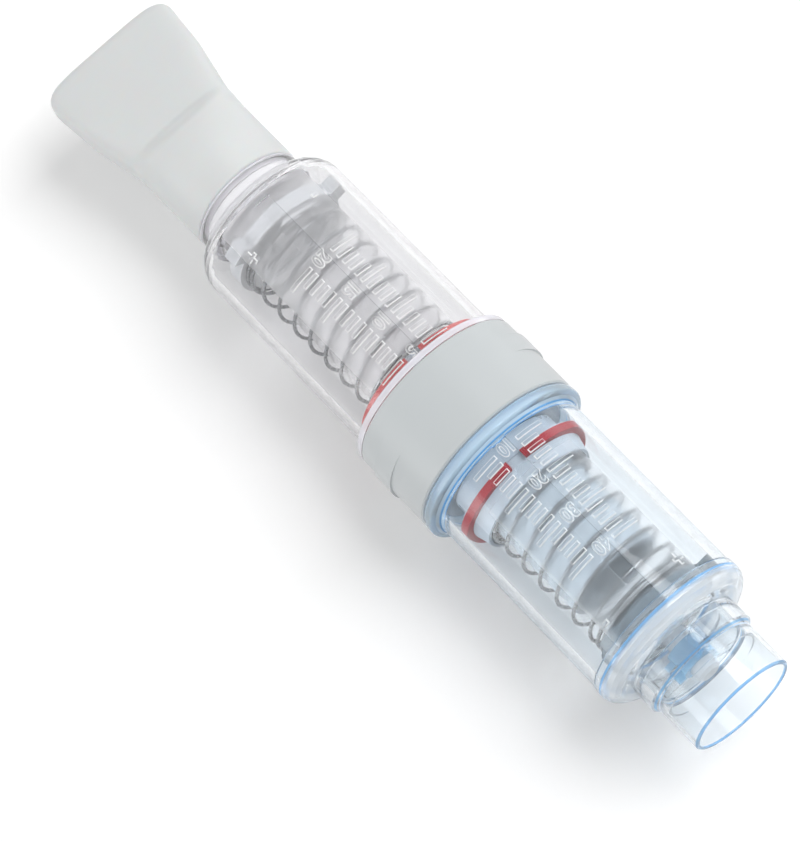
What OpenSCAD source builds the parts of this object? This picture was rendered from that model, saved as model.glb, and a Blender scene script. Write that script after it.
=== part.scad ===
/* [Mouthpiece] */
// Width of the flat end at its tip, which goes between the lips
mouth_w = 32.6; // [28:0.1:40]
// Width of the flat end where its sides turn in
mouth_waist_w = 30.6; // [27:0.1:38]
// Thickness of the flat end at its tip
mouth_t = 11.6; // [10:0.1:16]
// Thickness of the wedge where it meets the round sleeve
mouth_back_t = 18.4; // [16:0.1:22]
// Wall of the flat end
mouth_wall = 2; // [1.6:0.1:2.6]
// Length of the flat end from its tip to where its sides turn in
mouth_flat_l = 13.1; // [8:0.1:20]
// Length of the sides that turn in to the round sleeve
mouth_taper_l = 12.4; // [10:0.1:20]
// Length of the round sleeve, with the rise from the wedge
mouth_sleeve_l = 20.6; // [18:0.1:30]
// Length of the rise from the wedge to the full height of the sleeve
mouth_rise_l = 5; // [3:0.1:8]
// Wall of the round sleeve, where it fits over the spigot
mouth_sleeve_wall = 1.85; // [1.2:0.05:3]
// Radius of the corners of the flat end, seen from above
mouth_corner_r = 2.8; // [2:0.1:6]
// Depth that the sleeve reaches over the spigot
mouth_grip_l = 15.8; // [12:0.1:17]

/* [Breathing ports] */
// Diameter of the standard port, on the spigot and in the outlet socket
breath_d = 22; // [15:0.1:30]
// Wall of the spigot
spigot_wall = 1.6; // [1:0.1:2.2]
// Step between the outlet socket and the air port behind it
port_step = 0.6; // [0.4:0.1:1]
// Depth of the outlet socket
socket_l = 8.2; // [6:0.1:8.4]
// Wall of the open outlet tube
outlet_wall = 0.8; // [0.6:0.1:2]
// Length of the open outlet tube
outlet_l = 10.9; // [10:0.1:20]

/* [Clear barrel] */
// Wall of the clear barrel
pep_wall = 1.85; // [1.4:0.05:3]
// Length of the clear barrel between its shoulder and its flange
pep_l = 47.7; // [44:0.1:60]
// Length of the rounded shoulder
shoulder_l = 5.4; // [4:0.1:8]
// Height of the clear neck above the spigot
neck_h = 1.75; // [1.2:0.05:3]
// Length of the clear neck behind the mouthpiece
neck_l = 4.1; // [3:0.1:8]
// Thickness of the thin flange beside the grip band
flange_t = 1.7; // [1.2:0.1:3]

/* [Tinted barrel] */
// Wall of the tinted barrel
imt_wall = 2; // [1.4:0.1:3]
// Length of the tinted barrel between its bead and its end
imt_l = 46.5; // [42:0.1:60]
// Width of the rounded bead beside the grip band
bead_w = 2.8; // [2:0.1:4]

/* [Guide ribs] */
// Width of the guide rib inside each barrel, under the numbers
rib_w = 3.2; // [2:0.1:5]
// Height of the guide rib
rib_h = 1.1; // [0.8:0.1:1.3]

/* [End cap] */
// Wall of the skirt that closes over the tinted barrel, where it stands out
skirt_over = 0.3; // [0.2:0.05:1]
// Length of the skirt
skirt_l = 2; // [1.5:0.1:3]
// Wall of the dome
dome_wall = 1.8; // [1.2:0.1:2.4]
// Length of the domed wall
dome_l = 3.5; // [2.5:0.1:6]
// Height of the stepped neck above the outlet tube
step_h = 1; // [0.8:0.1:2]
// Length of the stepped neck
step_l = 5.7; // [5:0.1:9]

/* [Grip band] */
// Wall of the grey band
band_wall = 2.14; // [1.8:0.01:4]
// Length of the grey band
band_l = 18.2; // [16:0.1:26]
// Wall of the journals that turn in the band
journal_wall = 1.8; // [1.4:0.1:3]
// Width of the two grip pads, along the axis
pad_w = 4.7; // [3:0.1:7]
// Height of the grip pads at their middle
pad_h = 0.45; // [0.2:0.05:1]

/* [Lead screw core] */
// Space between the core tube and the bore of a barrel
core_room = 5.3; // [4.6:0.1:6]
// Wall of the core tube
core_wall = 1.8; // [1.4:0.1:2.2]
// Thickness of the web that joins the core to the band
web_t = 4; // [3:0.1:5]

/* [Scales] */
// Distance between two numbers on either barrel
number_pitch = 9.1; // [8:0.1:10]
// Setting of the expiratory side at rest, in steps above its lowest number
pep_setting = 0; // [0:0.1:1]
// Setting of the inspiratory side at rest, in steps above its lowest number
imt_setting = 0.25; // [0.2:0.05:1]

/* [Valves] */
// Rim of a valve disc, outside its seal
disc_rim = 1.05; // [0.8:0.05:2]
// Space around a valve disc inside its barrel
disc_gap = 2.7; // [2:0.1:4]
// Thickness of a valve disc
disc_t = 3.2; // [2.5:0.1:4]
// Width of the three guide tabs of a disc
tab_w = 4.3; // [3:0.1:6]
// Diameter of a valve stem
stem_d = 5.3; // [4:0.1:6]
// Length of the expiratory stem that stands out of its guide
pep_stem_out = 0.75; // [0.5:0.05:2]
// Length of the inspiratory stem that stands out of its guide
imt_stem_out = 2.8; // [1:0.1:3]
// Step between the air port and the check flap inside it
flap_inset = 1; // [0.6:0.1:2]
// Thickness of the check flap
flap_t = 0.6; // [0.4:0.1:1]
// Lift of the check flap
flap_lift = 1; // [0.5:0.1:1.2]
// Number of air holes in a disc
vents = 6; // [4:1:8]
// Diameter of an air hole in a disc
vent_d = 3; // [2:0.1:3.4]

/* [Springs] */
// Space between the core tube and a spring
spring_gap = 0.9; // [0.7:0.05:1.2]
// Diameter of the spring wire
wire_d = 0.8; // [0.7:0.05:0.9]
// Distance between two open coils
coil_pitch = 4.8; // [4:0.1:6]
// Closed turns at each end of the expiratory spring
pep_closed_turns = 1.5; // [1:0.25:2]
// Closed turns at each end of the inspiratory spring
imt_closed_turns = 2.5; // [1:0.25:3]

/* [Fits] */
// Radial clearance of a running fit
run_gap = 0.06; // [0.04:0.01:0.09]
// Clearance between faces that turn or slide past each other
face_gap = 0.1; // [0.05:0.01:0.2]
// Clearance around a soft seal
soft_gap = 0.1; // [0.05:0.01:0.15]

/* [Hidden] */
$fn = 96;
// Overrun of a cut past the face that it opens
over = 0.5;
// Rounded edge of the clear and grey mouldings
edge_r = 0.6;
// Straight steps along one rounded quarter of a turned profile
arc_steps = 6;
// Clearance between two pieces that are joined for good
bond_gap = 0.03;

// Places along the axis, measured from the rim of the outlet at x = 0 towards the mouth
x_step = -outlet_l;
x_dome = x_step - step_l;
x_skirt = x_dome - dome_l;
x_imt_end = x_skirt - edge_r;
x_bead = x_imt_end - imt_l;
x_band_out = x_bead - bead_w;
x_band_in = x_band_out - band_l;
x_flange = x_band_in - flange_t;
x_shoulder = x_flange - pep_l;
x_neck = x_shoulder - shoulder_l;
x_sleeve = x_neck - neck_l;
x_spigot = x_sleeve - mouth_grip_l;
x_taper = x_sleeve - mouth_sleeve_l;
x_flat = x_taper - mouth_taper_l;
x_tip = x_flat - mouth_flat_l;
x_mid = (x_band_in + x_band_out) / 2;

// Radii of the ports, the spigot and the outlet
breath_r = breath_d / 2;
port_r = breath_r - port_step;
spigot_bore_r = breath_r - spigot_wall;
sleeve_r = breath_r + mouth_sleeve_wall;
neck_r = breath_r + neck_h;
outlet_r = breath_r + outlet_wall;
step_r = outlet_r + step_h;
stem_r = stem_d / 2;

// Raised lips around the ports, which the valve discs close
seat_h = 0.6;
seat_w = 1;
x_pep_wall = x_shoulder - bond_gap;
x_imt_wall = x_imt_end + bond_gap;
x_pep_lip = x_pep_wall + seat_h;
x_imt_lip = x_imt_wall - seat_h;
x_port_in = x_sleeve + 2 * edge_r;

// Seal rings, bedded in the faces of the discs
seal_t = 0.9;
seal_bed = 0.4;
seal_w = 2.1;
seal_mid_r = port_r + seat_w / 2;
x_pep_disc = x_pep_lip + soft_gap + seal_t - seal_bed;
x_imt_disc = x_imt_lip - soft_gap - seal_t + seal_bed;
x_pep_inner = x_pep_disc + disc_t;
x_imt_inner = x_imt_disc - disc_t;

// Radii of the discs, the barrels, the journals, the band and the core
disc_r = seal_mid_r + seal_w / 2 + disc_rim;
bore_r = disc_r + disc_gap;
pep_r = bore_r + pep_wall;
imt_r = bore_r + imt_wall;
skirt_r = imt_r + skirt_over;
journal_r = bore_r + journal_wall;
band_r = journal_r + run_gap + band_wall;
core_r = bore_r - core_room;
// The flange stands a little below the band, and the bead a little above it
rim_step = 0.1;
flange_r = band_r - rim_step;
bead_r = band_r + rim_step;
// Space between the end of a journal and the web
journal_gap = 1.1;
journal_l = (band_l - web_t) / 2 - journal_gap;
// Space between the bore of a barrel and a piece that moves in it
bore_gap = 0.3;

// Tabs, air holes and spring boss of a disc
tab_count = 3;
tab_turn = -76.5;
tab_gap = 0.25;
flap_r = port_r - flap_inset;
vent_circle_r = (stem_r + flap_r) / 2;
boss_h = 1.6;
boss_gap = 0.45;
stem_tip_r = 0.7;

// Clip that holds a check flap on its stem
clip_h = 1.85;
clip_t = 0.5;
flap_bore_gap = 0.15;

// Travellers and their red rings
ring_w = 1.75;
ring_h = 1.4;
ring_gap = 0.12;
ring_out_r = bore_r - bore_gap;
ring_in_r = ring_out_r - ring_h;
lip_w = 0.8;
lip_r = bore_r - rib_h - face_gap;
sleeve_t = 2.1;
cup_t = 0.6;
cup_gap = 0.35;
cup_l = 3.4;
pep_sleeve_l = 2.4;
imt_sleeve_l = 5.2;
pep_first_l = 1.6;
imt_first_l = 3.2;
x_pep_low = x_flange - pep_first_l;
x_imt_low = x_bead + imt_first_l;
x_pep_ring = x_pep_low - pep_setting * number_pitch;
x_imt_ring = x_imt_low + imt_setting * number_pitch;
x_pep_seat = x_pep_ring - ring_w / 2;
x_imt_seat = x_imt_ring + ring_w / 2;

// Core tube, long enough for each traveller to reach its highest number
number_steps = 3;
core_reach = 1.2;
x_core_in = x_pep_low - number_steps * number_pitch - core_reach;
x_core_out = x_imt_low + number_steps * number_pitch + core_reach;
// Drum, whose ends stop both travellers at their settings at rest
drum_gap = 0.7;
x_drum_in = x_pep_seat + ring_w + pep_sleeve_l + drum_gap;
x_drum_out = x_imt_seat - ring_w - imt_sleeve_l - drum_gap;
drum_r = bore_r - bore_gap;
key_w = 3;
key_h = 1.1;
key_count = 3;
key_turn = 60;

// Split rings that hold the barrels in the band
snap_from_face = 3.4;
snap_w = 1.1;
snap_in = 0.7;
snap_out = 0.8;
snap_split = 5;

// O-rings on the drum of the core
o_ring_d = 1.35;
o_ring_from_web = 2.4;
o_ring_from_mid = web_t / 2 + o_ring_from_web;
o_ring_bed = 1.2;

// Guide spiders for the valve stems
spider_ring_t = 0.9;
spider_ring_l = 4.3;
spider_boss_t = 1.3;
spider_arm_w = 1.1;
spider_turn = -17;
spider_arms = 3;
spider_back = 0.6;
x_pep_guide = x_port_in + bond_gap;
x_imt_guide = x_step - edge_r;
pep_stem_l = x_pep_disc - x_pep_guide + pep_stem_out;
imt_stem_l = x_imt_guide - x_imt_disc + imt_stem_out;

// Springs
wire_r = wire_d / 2;
coil_r = core_r + spring_gap + wire_r;
spring_r = coil_r + wire_r;
coil_gap = 0.45;
closed_pitch = wire_d + coil_gap;
coil_rings = 16;
wire_sides = 6;
seat_lift = 0.02;

// Roundness of the mouthpiece sections, and the steps that shape them
lip_steps = 5;
taper_steps = 4;
rise_steps = 5;
section_points = 48;
flat_power = 4.5;
back_power = 3.4;
round_power = 2;
// Offset of the round outline that a grip pad follows
pad_round = 1.2;

// Lays a turned or extruded shape, drawn along Z, along X
module along() {
    rotate([0, 90, 0]) children();
}

// Turns a shape about the axis, away from the number line at the top
module around(angle) {
    rotate([angle, 0, 0]) children();
}

// Equal copies about the axis, the first one turned by start
module spaced(count, start) {
    for (i = [0 : count - 1]) around(start + 360 * i / count) children();
}

// A solid of revolution about X from points [place along the axis, radius]
module turned(points) {
    along() rotate_extrude() polygon([for (p = points) [p[1], p[0]]]);
}

// A plain ring between two places and two radii
module ring(x0, x1, r_in, r_out) {
    turned([[x0, r_in], [x1, r_in], [x1, r_out], [x0, r_out]]);
}

// A plain rod between two places
module rod(x0, x1, r) {
    translate([x0, 0, 0]) along() cylinder(r = r, h = x1 - x0);
}

// A bar w wide that stands out from the axis at the top, from r0 to r1
module bar(x0, x1, w, r0, r1) {
    translate([x0, -w / 2, r0]) cube([x1 - x0, w, r1 - r0]);
}

// Points on an elliptical arc about [x, r], from angle a0 to a1
function arc(x, r, rx, ry, a0, a1) =
    [for (i = [0 : arc_steps])
        let (a = a0 + (a1 - a0) * i / arc_steps) [x + rx * cos(a), r + ry * sin(a)]];

// A section of the mouthpiece from its half width, half thickness and roundness
function section(x, w, t, power) =
    [for (i = [0 : section_points - 1])
        let (a = 360 * i / section_points, c = cos(a), s = sin(a))
        [x, w * sign(c) * pow(abs(c), 2 / power), t * sign(s) * pow(abs(s), 2 / power)]];

// Skins a list of sections of equal point counts into one closed solid
module skin(sections) {
    n = len(sections[0]);
    last = len(sections) - 1;
    polyhedron(
        points = [for (s = sections) for (p = s) p],
        faces = concat(
            [[for (i = [0 : n - 1]) i]],
            [for (k = [0 : last - 1]) for (i = [0 : n - 1])
                let (j = (i + 1) % n) [k * n + i, (k + 1) * n + i, (k + 1) * n + j]],
            [for (k = [0 : last - 1]) for (i = [0 : n - 1])
                let (j = (i + 1) % n) [k * n + i, (k + 1) * n + j, k * n + j]],
            [[for (i = [n - 1 : -1 : 0]) last * n + i]]),
        convexity = 6);
}

// Smooth step from 0 to 1
function ease(s) = s * s * (3 - 2 * s);

// Value between a and b at the share s
function between(a, b, s) = a + (b - a) * s;

// Half the thickness of the wedge where its sides turn in
waist_t = between(mouth_t, mouth_back_t, mouth_flat_l / (mouth_flat_l + mouth_taper_l)) / 2;

// Sections of the rounded lip at the tip
function lip_sections() =
    [for (i = [0 : lip_steps])
        let (a = 90 * i / lip_steps)
        section(x_tip + mouth_corner_r * (1 - cos(a)), mouth_w / 2 - mouth_corner_r * (1 - sin(a)),
            mouth_t / 2 - mouth_wall / 2 * (1 - sin(a)), flat_power)];

// Sections from the turn of the sides to the round sleeve, drawn in by a wall
function taper_sections(wall) =
    [for (i = [0 : taper_steps])
        let (s = i / taper_steps)
        section(between(x_flat, x_taper, s), between(mouth_waist_w / 2, sleeve_r, s) - wall,
            between(waist_t, mouth_back_t / 2, s) - wall, between(flat_power, back_power, s))];

// Sections of the rise from the wedge to the full height of the sleeve
function rise_sections() =
    [for (i = [1 : rise_steps])
        let (s = i / rise_steps)
        section(x_taper + mouth_rise_l * s, sleeve_r, between(mouth_back_t / 2, sleeve_r, ease(s)),
            between(back_power, round_power, ease(s)))];

// Soft mouthpiece with a flat, wedge-shaped end and a round sleeve over the spigot
module mouthpiece() {
    color([0.83, 0.84, 0.84])
    difference() {
        skin(concat(lip_sections(), taper_sections(0), rise_sections(),
            [section(x_sleeve, sleeve_r, sleeve_r, round_power)]));
        skin(concat(
            [section(x_tip - over, mouth_w / 2 - mouth_wall, mouth_t / 2 - mouth_wall, flat_power)],
            taper_sections(mouth_wall),
            [section(x_spigot, spigot_bore_r, spigot_bore_r, round_power)]));
        rod(x_spigot - face_gap, x_sleeve + over, breath_r + run_gap);
    }
}

// Groove around a journal for its split ring
module snap_groove(x) {
    ring(x - snap_w / 2 - bond_gap, x + snap_w / 2 + bond_gap,
        journal_r - snap_in - bond_gap, journal_r + over);
}

// Clear barrel with its spigot, neck, shoulder, flange, guide rib and journal
module pep_barrel() {
    x_journal = x_band_in + journal_l;
    x_hollow = x_pep_wall - shoulder_l + pep_wall;
    color([0.86, 0.89, 0.92, 0.4]) {
        difference() {
            turned(concat(
                [[x_spigot, spigot_bore_r], [x_spigot, breath_r],
                 [x_sleeve + face_gap, breath_r], [x_sleeve + face_gap, neck_r - edge_r / 2],
                 [x_sleeve + face_gap + edge_r / 2, neck_r]],
                arc(x_shoulder, neck_r, shoulder_l, pep_r - neck_r, 180, 90),
                [[x_flange, pep_r]],
                arc(x_flange + edge_r, flange_r - edge_r, edge_r, edge_r, 180, 90),
                [[x_band_in - face_gap, flange_r], [x_band_in - face_gap, journal_r],
                 [x_journal, journal_r], [x_journal, bore_r]],
                arc(x_pep_wall, neck_r, shoulder_l - pep_wall, bore_r - neck_r, 90, 180),
                [[x_hollow, port_r + seat_w], [x_pep_lip, port_r + seat_w],
                 [x_pep_lip, port_r], [x_port_in, port_r], [x_port_in, spigot_bore_r]]));
            snap_groove(x_band_in + snap_from_face);
        }
        bar(x_pep_wall - bond_gap, x_flange, rib_w, bore_r - rib_h, bore_r + rib_h / 2);
    }
}

// Tinted barrel with its bead, guide rib and journal, stepped at the end for the cap
module imt_barrel() {
    r_end = skirt_r - edge_r - bond_gap;
    x_journal = x_band_out - journal_l;
    x_rebate = x_skirt - skirt_l - face_gap;
    x_round = x_band_out + face_gap;
    round_r = 2 * edge_r;
    color([0.62, 0.74, 0.88, 0.4]) {
        difference() {
            turned(concat(
                [[x_journal, bore_r], [x_journal, journal_r], [x_round, journal_r]],
                arc(x_round + round_r, bead_r - round_r, round_r, round_r, 180, 90),
                arc(x_bead - edge_r, bead_r - round_r, edge_r, round_r, 90, 0),
                [[x_bead + edge_r, imt_r], [x_rebate, imt_r], [x_rebate, r_end],
                 [x_imt_end, r_end], [x_imt_end, bore_r]]));
            snap_groove(x_band_out - snap_from_face);
        }
        bar(x_bead, x_imt_end, rib_w, bore_r - rib_h, bore_r + rib_h / 2);
    }
}

// End cap with its skirt, domed wall, stepped neck and open outlet tube
module imt_end_cap() {
    x_hollow = x_dome - dome_wall;
    color([0.55, 0.70, 0.90, 0.4])
    turned(concat(
        [[x_skirt - skirt_l, skirt_r - edge_r], [x_skirt - skirt_l, skirt_r - edge_r / 2],
         [x_skirt - skirt_l + edge_r / 2, skirt_r]],
        arc(x_skirt, step_r, dome_l, skirt_r - step_r, 90, 0),
        [[x_step - edge_r, step_r], [x_step + edge_r / 2, outlet_r], [-edge_r / 2, outlet_r],
         [0, outlet_r - edge_r / 2], [0, breath_r], [-socket_l, breath_r],
         [-socket_l, port_r], [x_imt_lip, port_r], [x_imt_lip, port_r + seat_w],
         [x_hollow, port_r + seat_w]],
        arc(x_skirt, step_r, dome_l - dome_wall, skirt_r - step_r - dome_wall, 0, 90),
        [[x_imt_wall, skirt_r - dome_wall], [x_imt_wall, skirt_r - edge_r]]));
}

// Outline of a guide spider: ring, boss and arms around the bore for the stem
module spider_outline() {
    r_out = port_r - bond_gap;
    r_arm = stem_r + spider_boss_t / 2;
    difference() {
        union() {
            difference() {
                circle(r = r_out);
                circle(r = r_out - spider_ring_t);
            }
            circle(r = stem_r + spider_boss_t);
            for (i = [0 : spider_arms - 1])
                rotate(180 + spider_turn + 360 * i / spider_arms)
                translate([r_arm, -spider_arm_w / 2])
                square([r_out - spider_ring_t / 2 - r_arm, spider_arm_w]);
        }
        circle(r = stem_r + run_gap);
    }
}

// Insert that guides a valve stem, from x0 to x1, with its boss a little longer
module guide_spider(x0, x1) {
    translate([x0, 0, 0]) along() linear_extrude(height = x1 - x0) spider_outline();
    ring(x0 - spider_back, x0, stem_r + run_gap, stem_r + spider_boss_t);
}

// Spider in the clear neck
module pep_guide_spider() {
    color([0.88, 0.90, 0.93, 0.5])
    mirror([1, 0, 0])
    guide_spider(-x_pep_guide - spider_ring_l, -x_pep_guide);
}

// Spider in the stepped neck
module imt_guide_spider() {
    color([0.30, 0.52, 0.82, 0.6])
    guide_spider(x_imt_guide - spider_ring_l, x_imt_guide);
}

// Outline of a valve disc, with its tabs and air holes
module disc_outline() {
    difference() {
        union() {
            circle(r = disc_r);
            for (i = [0 : tab_count - 1])
                rotate(180 + 360 * i / tab_count)
                translate([disc_r - edge_r, -tab_w / 2])
                square([bore_r - tab_gap - disc_r + edge_r, tab_w]);
        }
        for (i = [0 : vents - 1])
            rotate(360 * i / vents) translate([vent_circle_r, 0]) circle(d = vent_d);
    }
}

// Valve disc with its face at x = 0, its stem towards +X and its spring boss behind
module valve_disc(stem_l) {
    r_boss = coil_r - wire_r - boss_gap;
    difference() {
        union() {
            translate([-disc_t, 0, 0]) along() linear_extrude(height = disc_t)
                disc_outline();
            ring(-disc_t - boss_h, -disc_t, port_r - seat_w, r_boss);
            turned([[-edge_r, 0], [stem_l, 0], [stem_l, stem_r - stem_tip_r],
                [stem_l - stem_tip_r, stem_r], [-edge_r, stem_r]]);
        }
        ring(-seal_bed, over, seal_mid_r - seal_w / 2 - bond_gap,
            seal_mid_r + seal_w / 2 + bond_gap);
    }
}

// Valve disc of the expiratory side
module pep_valve_disc() {
    color([0.55, 0.60, 0.63])
    translate([x_pep_disc, 0, 0]) mirror([1, 0, 0]) around(tab_turn) valve_disc(pep_stem_l);
}

// Valve disc of the inspiratory side
module imt_valve_disc() {
    color([0.50, 0.56, 0.60])
    translate([x_imt_disc, 0, 0]) around(tab_turn) valve_disc(imt_stem_l);
}

// Seal ring in the face of the expiratory disc
module pep_seat_seal() {
    color([0.90, 0.90, 0.88])
    ring(x_pep_disc + seal_bed - seal_t, x_pep_disc + seal_bed,
        seal_mid_r - seal_w / 2, seal_mid_r + seal_w / 2);
}

// Seal ring in the face of the inspiratory disc
module imt_seat_seal() {
    color([0.90, 0.90, 0.88])
    ring(x_imt_disc - seal_bed, x_imt_disc - seal_bed + seal_t,
        seal_mid_r - seal_w / 2, seal_mid_r + seal_w / 2);
}

// Check flap over the air holes of the expiratory disc
module pep_check_flap() {
    color([0.85, 0.86, 0.86])
    ring(x_pep_disc - seat_lift - flap_t, x_pep_disc - seat_lift,
        stem_r + flap_bore_gap, flap_r);
}

// Check flap over the air holes of the inspiratory disc
module imt_check_flap() {
    color([0.85, 0.86, 0.86])
    ring(x_imt_disc + seat_lift, x_imt_disc + seat_lift + flap_t,
        stem_r + flap_bore_gap, flap_r);
}

// Clip on the expiratory stem, which the flap opens against
module pep_stem_clip() {
    x = x_pep_disc - flap_t - flap_lift - face_gap;
    color([0.75, 0.76, 0.78]) ring(x - clip_t, x, stem_r + bond_gap, stem_r + clip_h);
}

// Clip on the inspiratory stem, which the flap opens against
module imt_stem_clip() {
    x = x_imt_disc + flap_t + flap_lift + face_gap;
    color([0.75, 0.76, 0.78]) ring(x, x + clip_t, stem_r + bond_gap, stem_r + clip_h);
}

// Traveller with the face that carries its spring at x = 0, looking towards +X
module traveller(sleeve_l, cup) {
    r_cup = spring_r + cup_gap;
    turned([[cup, r_cup], [cup, r_cup + cup_t], [0, ring_in_r - bond_gap],
        [-ring_w, ring_in_r - bond_gap], [-ring_w, lip_r],
        [-ring_w - lip_w, lip_r], [-ring_w - lip_w, core_r + sleeve_t],
        [-ring_w - sleeve_l, core_r + sleeve_t], [-ring_w - sleeve_l, core_r + run_gap],
        [0, core_r + run_gap], [0, r_cup]]);
}

// Nut of the expiratory side, which carries the spring and the red ring
module pep_traveller() {
    color([0.80, 0.81, 0.82])
    translate([x_pep_seat, 0, 0]) mirror([1, 0, 0]) traveller(pep_sleeve_l, edge_r);
}

// Nut of the inspiratory side, which carries the spring and the red ring
module imt_traveller() {
    color([0.80, 0.81, 0.82])
    translate([x_imt_seat, 0, 0]) traveller(imt_sleeve_l, cup_l);
}

// Red ring, open where it straddles the guide rib
module indicator_ring(x) {
    difference() {
        ring(x - ring_w / 2, x + ring_w / 2, ring_in_r, ring_out_r);
        bar(x - ring_w, x + ring_w, rib_w + 2 * ring_gap, ring_in_r - over, ring_out_r + over);
    }
}

// Indicator of the expiratory side
module pep_indicator_ring() {
    color([0.84, 0.22, 0.24]) indicator_ring(x_pep_ring);
}

// Indicator of the inspiratory side
module imt_indicator_ring() {
    color([0.74, 0.10, 0.18]) indicator_ring(x_imt_ring);
}

// Split ring that holds a barrel in the band
module snap_ring(x) {
    difference() {
        ring(x - snap_w / 2, x + snap_w / 2, journal_r - snap_in, journal_r + snap_out);
        mirror([0, 0, 1])
            bar(x - snap_w, x + snap_w, snap_split, journal_r - snap_in - over,
                journal_r + snap_out + over);
    }
}

// Split ring of the expiratory side
module pep_retaining_ring() {
    color([0.72, 0.73, 0.75]) snap_ring(x_band_in + snap_from_face);
}

// Split ring of the inspiratory side
module imt_retaining_ring() {
    color([0.72, 0.73, 0.75]) snap_ring(x_band_out - snap_from_face);
}

// O-ring in its groove on the drum
module o_ring(x) {
    color([0.12, 0.12, 0.13])
    along() rotate_extrude()
        translate([drum_r - o_ring_bed + bond_gap + o_ring_d / 2, x]) circle(d = o_ring_d);
}

// O-ring of the expiratory side
module pep_o_ring() {
    o_ring(x_mid - o_ring_from_mid);
}

// O-ring of the inspiratory side
module imt_o_ring() {
    o_ring(x_mid + o_ring_from_mid);
}

// Core with its two screw tubes, drum, web and keys
module lead_screw_core() {
    color([0.66, 0.68, 0.70])
    difference() {
        union() {
            rod(x_core_in, x_core_out, core_r);
            rod(x_drum_in, x_drum_out, drum_r);
            rod(x_mid - web_t / 2, x_mid + web_t / 2, journal_r);
            spaced(key_count, key_turn)
                bar(x_mid - web_t / 2, x_mid + web_t / 2, key_w, journal_r - key_h,
                    journal_r + key_h);
        }
        rod(x_core_in - over, x_core_out + over, core_r - core_wall);
        for (side = [-1, 1])
            ring(x_mid + side * o_ring_from_mid - o_ring_d / 2 - face_gap,
                x_mid + side * o_ring_from_mid + o_ring_d / 2 + face_gap,
                drum_r - o_ring_bed, drum_r + over);
    }
}

// Grey band with two grip pads, grooves for the split rings and keyways for the core
module grip_band() {
    r = band_r;
    r_bore = journal_r + run_gap;
    color([0.84, 0.84, 0.84])
    difference() {
        union() {
            turned([[x_band_in, 0], [x_band_in, r - edge_r / 2], [x_band_in + edge_r / 2, r],
                [x_band_out - edge_r / 2, r], [x_band_out, r - edge_r / 2], [x_band_out, 0]]);
            for (side = [-1, 1])
                translate([0, side * (pad_h + pad_round), 0])
                rod(x_mid - pad_w, x_mid, r - pad_round);
        }
        rod(x_band_in - over, x_band_out + over, r_bore);
        for (x = [x_band_in + snap_from_face, x_band_out - snap_from_face])
            ring(x - snap_w / 2 - face_gap, x + snap_w / 2 + face_gap, r_bore - over,
                journal_r + snap_out + face_gap);
        spaced(key_count, key_turn)
            bar(x_mid - web_t / 2 - bond_gap, x_band_out + over, key_w + 2 * face_gap,
                r_bore - over, journal_r + key_h + face_gap);
    }
}

// Centre line of a spring: place along the axis after t turns
function coil_place(t, closed, open, pitch) =
    t < closed ? t * closed_pitch :
    t < closed + open ? closed * closed_pitch + (t - closed) * pitch :
    closed * closed_pitch + open * pitch + (t - closed - open) * closed_pitch;

// Points of that centre line, from x0 for the given turns
function coil_points(x0, closed, open, pitch) =
    let (turns = 2 * closed + open, last = ceil(turns * coil_rings))
    [for (i = [0 : last])
        let (t = turns * i / last, a = 360 * t)
        [x0 + coil_place(t, closed, open, pitch), -coil_r * sin(a), coil_r * cos(a)]];

// Least distance between the wire of one turn and the next, measured on the points
function least_gap(points) =
    min([for (i = [0 : len(points) - 1])
        for (j = [i + coil_rings - 2 : min(i + coil_rings + 2, len(points) - 1)])
            if (j < len(points)) norm(points[i] - points[j])]) - wire_d;

// Rings of the wire around those points
function coil_rings_of(points) =
    [for (i = [0 : len(points) - 1])
        let (
            p = points[i],
            q = points[min(i + 1, len(points) - 1)] - points[max(i - 1, 0)],
            out = [0, p[1], p[2]] / coil_r,
            side = cross(q / norm(q), out))
        [for (k = [0 : wire_sides - 1])
            let (b = 360 * k / wire_sides)
            p + wire_r * (cos(b) * out + sin(b) * side)]];

// A spring of one unbroken wire between two seats
module spring(x0, x1, closed) {
    l = x1 - x0 - wire_d - 2 * seat_lift;
    open = (l - 2 * closed * closed_pitch) / coil_pitch;
    points = coil_points(x0 + wire_r + seat_lift, closed, open, coil_pitch);
    echo(str("least gap between the coils ", least_gap(points)));
    color([0.78, 0.79, 0.80]) skin(coil_rings_of(points));
}

// Spring of the expiratory side
module pep_spring() {
    spring(x_pep_inner, x_pep_seat, pep_closed_turns);
}

// Spring of the inspiratory side
module imt_spring() {
    spring(x_imt_seat, x_imt_inner, imt_closed_turns);
}

mouthpiece();
pep_barrel();
pep_guide_spider();
pep_valve_disc();
pep_seat_seal();
pep_check_flap();
pep_stem_clip();
pep_spring();
pep_traveller();
pep_indicator_ring();
pep_retaining_ring();
pep_o_ring();
lead_screw_core();
grip_band();
imt_o_ring();
imt_retaining_ring();
imt_traveller();
imt_indicator_ring();
imt_spring();
imt_stem_clip();
imt_check_flap();
imt_seat_seal();
imt_valve_disc();
imt_guide_spider();
imt_end_cap();
imt_barrel();
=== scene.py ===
"""Looks of the breathing trainer: its smooth pieces, scales, materials, lamps and camera.

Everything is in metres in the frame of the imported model: the rim of the outlet is at the
origin, +X points out of the outlet, and +Z runs from the axis through the number lines.
Named sizes are in millimetres, and so are places along the axis, which start with X.
"""
import math

import bmesh
import bpy
from mathutils import Matrix, Vector


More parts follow.
